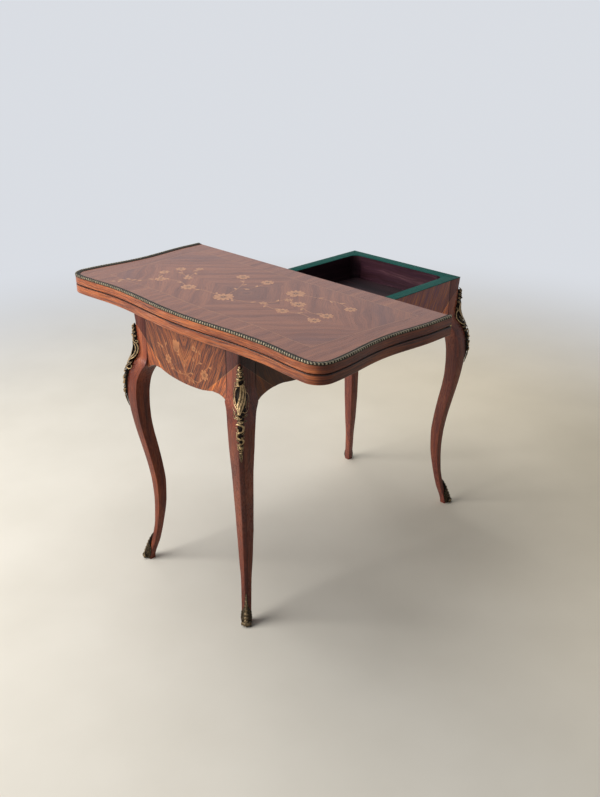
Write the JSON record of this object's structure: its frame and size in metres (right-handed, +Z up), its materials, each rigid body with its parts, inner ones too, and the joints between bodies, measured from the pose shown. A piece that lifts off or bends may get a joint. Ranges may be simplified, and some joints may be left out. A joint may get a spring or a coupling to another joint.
{
  "type": "card table",
  "caption": "Card table on cabriole legs with marquetry veneer: a folded two-leaf top swivels a quarter turn over a storage well, then opens flat to show baize.",
  "frame": {"origin": "on the floor, under the middle of the table's outline, which is also the middle of the frame", "axes": "+X along the frame towards the open well, -Y towards the frame's front, +Z up; the folded top is turned a quarter turn, so that its length runs along Y"},
  "size_m": [0.8698, 0.9006, 0.767],
  "materials": {
    "leg_wood": "dark red-brown rosewood veneer, French polished",
    "apron_veneer": "orange-brown figured veneer with floral marquetry, polished",
    "top_veneer": "quarter-matched brown veneer with floral marquetry, polished",
    "well_veneer": "purple-brown rosewood veneer, satin",
    "inner_wood": "plain unfinished hardwood",
    "green_baize": "felted blue-green wool",
    "gilt_bronze": "cast brass with worn dark gilding",
    "plain_brass": "plain brass, satin",
    "iron": "dark iron",
    "leather": "brown leather"
  },
  "bodies": {
    "frame": {"leg_front_left": "leg_wood", "leg_front_right": "leg_wood", "leg_back_left": "leg_wood", "leg_back_right": "leg_wood", "apron_front": "apron_veneer", "apron_back": "apron_veneer", "apron_left": "apron_veneer", "apron_right": "apron_veneer", "well_partition": "well_veneer", "well_floor": "well_veneer", "well_lining_front": "well_veneer", "well_lining_back": "well_veneer", "well_lining_right": "well_veneer", "well_corner_front": "well_veneer", "well_corner_back": "well_veneer", "floor_bearer_front": "inner_wood", "floor_bearer_back": "inner_wood", "glue_block_front": "inner_wood", "glue_block_back": "inner_wood", "pivot_rail": "inner_wood", "pivot_bush": "plain_brass", "rim_baize": "green_baize", "knee_mount_front_left": "gilt_bronze", "sabot_front_left": "gilt_bronze", "knee_mount_front_right": "gilt_bronze", "sabot_front_right": "gilt_bronze", "knee_mount_back_left": "gilt_bronze", "sabot_back_left": "gilt_bronze", "knee_mount_back_right": "gilt_bronze", "sabot_back_right": "gilt_bronze"},
    "lower_top": {"lower_leaf": "top_veneer", "lower_baize": "green_baize", "pivot_plate": "plain_brass", "pivot_bolt": "iron", "leather_washer": "leather", "pivot_washer": "plain_brass", "wing_nut": "iron", "stop_peg": "inner_wood", "hinge_pin_front": "plain_brass", "hinge_pin_back": "plain_brass", "hinge_lower_flap_front": "plain_brass", "hinge_lower_flap_back": "plain_brass", "plate_screw_1": "plain_brass", "plate_screw_2": "plain_brass", "plate_screw_3": "plain_brass", "plate_screw_4": "plain_brass", "screw_lower_front_1": "plain_brass", "screw_lower_front_2": "plain_brass", "screw_lower_back_1": "plain_brass", "screw_lower_back_2": "plain_brass"},
    "upper_top": {"upper_leaf": "top_veneer", "upper_baize": "green_baize", "brass_edging": "gilt_bronze", "hinge_upper_flap_front": "plain_brass", "hinge_upper_flap_back": "plain_brass", "screw_upper_front_1": "plain_brass", "screw_upper_front_2": "plain_brass", "screw_upper_back_1": "plain_brass", "screw_upper_back_2": "plain_brass"}
  },
  "joints": [
    {"name": "top_swivel", "type": "hinge", "parent": "frame", "child": "lower_top", "pos_m": [-0.1044, 0.1044, 0.7408], "axis": [0, 0, 1], "range_deg": [0, 90]},
    {"name": "leaf_fold", "type": "hinge", "parent": "lower_top", "child": "upper_top", "pos_m": [0.009, 0, 0.7408], "axis": [0, 1, 0], "range_deg": [0, 180]}
  ]
}
